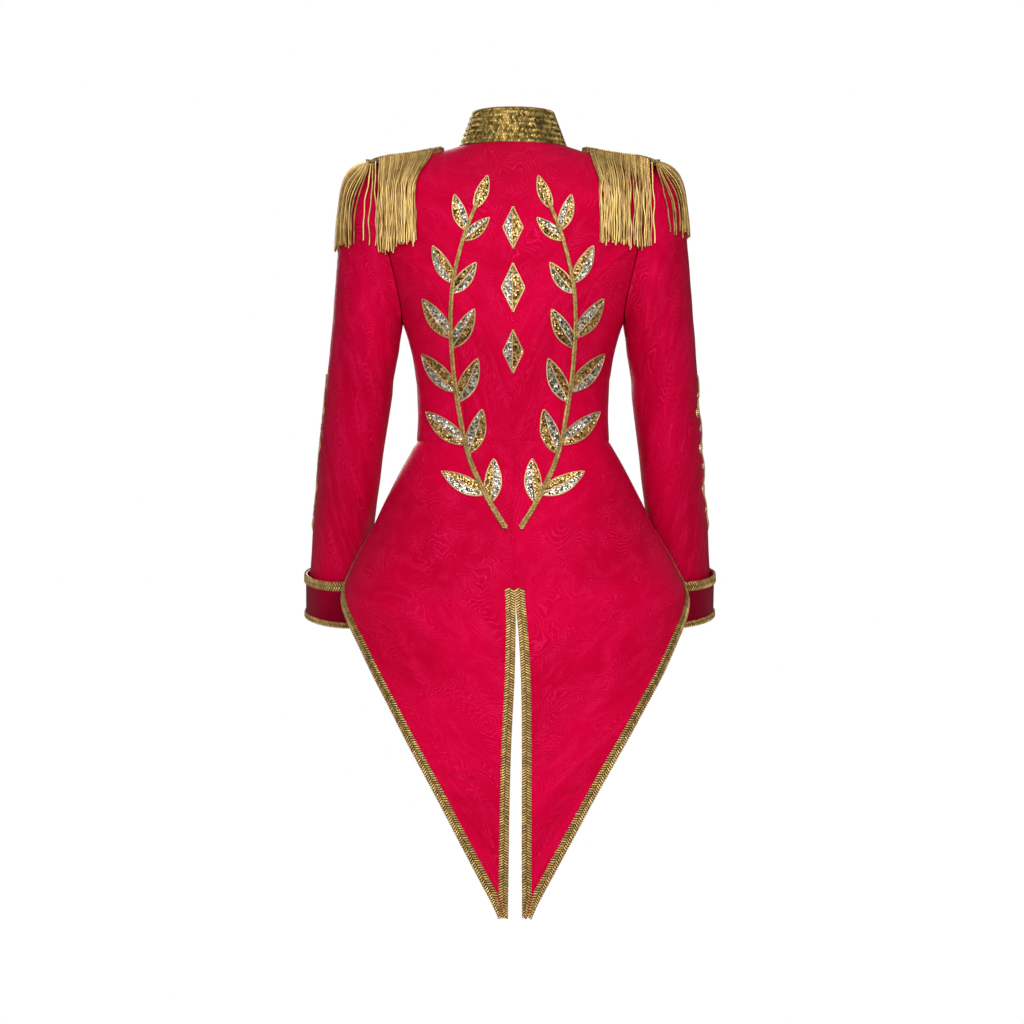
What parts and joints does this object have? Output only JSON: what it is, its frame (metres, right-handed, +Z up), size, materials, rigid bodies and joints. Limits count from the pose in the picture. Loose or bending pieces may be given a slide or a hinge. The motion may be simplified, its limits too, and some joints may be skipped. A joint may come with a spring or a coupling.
{
  "type": "ringmaster jacket",
  "caption": "Red jacquard ringmaster tailcoat, shown filled out and empty, with gold braid edges, fringed epaulettes and a raised sequin laurel wreath on its back.",
  "frame": {"origin": "in the middle of the neck, level with the nape and with the shoulder points at the neck", "axes": "+Z up; +Y towards the wearer's back, where the tails are; +X towards the wearer's left arm"},
  "size_m": [0.5611, 0.2831, 1.0521],
  "materials": {
    "jacquard": "satin",
    "gold_braid": "metallic thread",
    "bullion": "metallic thread",
    "sequins": "metallic, mirror-like",
    "epaulette_board": "matt felt",
    "button": "polished"
  },
  "bodies": {
    "root": {"back": "jacquard", "back_side_left": "jacquard", "back_side_right": "jacquard", "front_side_left": "jacquard", "front_side_right": "jacquard", "front_left": "jacquard", "front_right": "jacquard", "collar": "jacquard", "collar_braid_1": "gold_braid", "collar_braid_2": "gold_braid", "collar_braid_3": "gold_braid", "collar_braid_4": "gold_braid", "collar_braid_5": "gold_braid", "collar_braid_6": "gold_braid", "tail_left": "jacquard", "tail_right": "jacquard", "tail_braid_left": "gold_braid", "tail_braid_right": "gold_braid", "vent_braid_left": "gold_braid", "vent_braid_right": "gold_braid", "sleeve_left": "jacquard", "sleeve_right": "jacquard", "cuff_left": "jacquard", "cuff_right": "jacquard", "cuff_top_braid_left": "gold_braid", "cuff_top_braid_right": "gold_braid", "cuff_hem_braid_left": "gold_braid", "cuff_hem_braid_right": "gold_braid", "epaulette_left": "epaulette_board", "epaulette_right": "epaulette_board", "fringe_left": "bullion", "fringe_right": "bullion", "sequin_branch_left": "sequins", "sequin_branch_right": "sequins", "sleeve_scroll_left": "gold_braid", "sleeve_scroll_right": "gold_braid", "button_1": "button", "button_2": "button", "button_3": "button", "button_4": "button", "button_5": "button", "sequin_lozenge_1": "sequins", "sequin_lozenge_2": "sequins", "sequin_lozenge_3": "sequins"}
  },
  "joints": []
}
